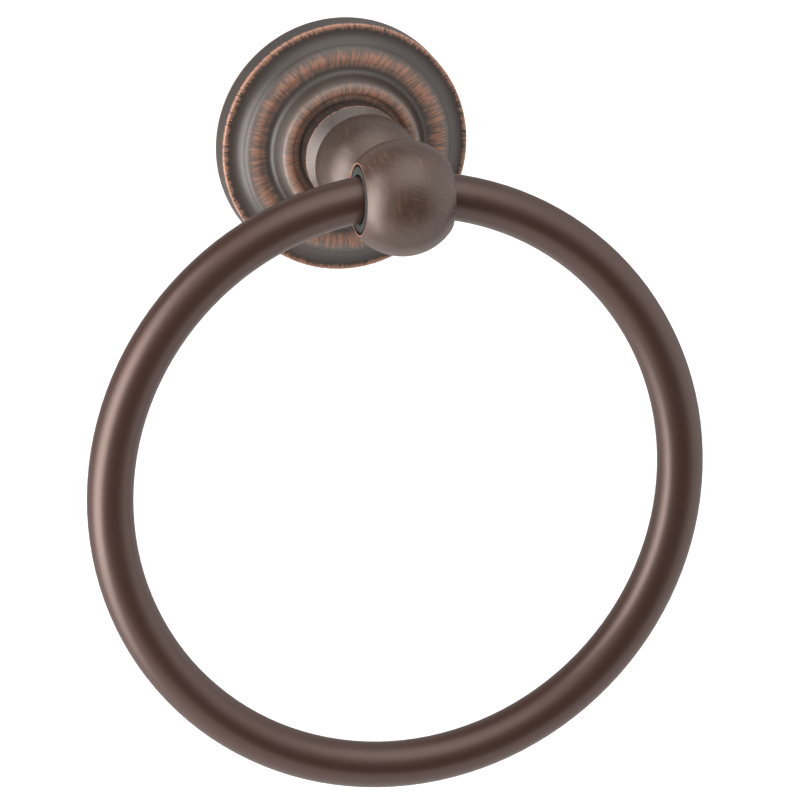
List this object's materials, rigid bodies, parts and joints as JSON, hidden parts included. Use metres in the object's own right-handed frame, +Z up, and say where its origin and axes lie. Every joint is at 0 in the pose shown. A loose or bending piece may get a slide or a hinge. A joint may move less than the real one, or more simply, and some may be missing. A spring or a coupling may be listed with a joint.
{
  "type": "towel ring",
  "caption": "Wall-mounted towel ring: a round tube ring swings in the cross bore of a ball-ended post on a moulded round rosette.",
  "frame": {"origin": "on the wall, at the centre of the rosette's and the wall bracket's flat back", "axes": "+Z up, +Y into the wall, +X to the right seen from the room; the ring swings about the line along X through the ball"},
  "size_m": [0.1644, 0.0795, 0.1909],
  "materials": {
    "rosette_bronze": "satin",
    "post_bronze": "satin",
    "ring_bronze": "satin",
    "bush_plastic": "matte",
    "zinc_steel": "satin",
    "bracket_steel": "satin",
    "dark_steel": "satin"
  },
  "bodies": {
    "holder": {"rosette": "rosette_bronze", "post": "post_bronze", "left_bush": "bush_plastic", "right_bush": "bush_plastic", "post_screw": "zinc_steel", "lock_washer": "zinc_steel", "wall_bracket": "bracket_steel", "set_screw": "dark_steel"},
    "ring": {"ring": "ring_bronze"}
  },
  "joints": [
    {"name": "ring_swing", "type": "hinge", "parent": "holder", "child": "ring", "pos_m": [0, -0.06439, 0], "axis": [-1, 0, 0], "range_deg": [-22.5, 202.5]}
  ]
}
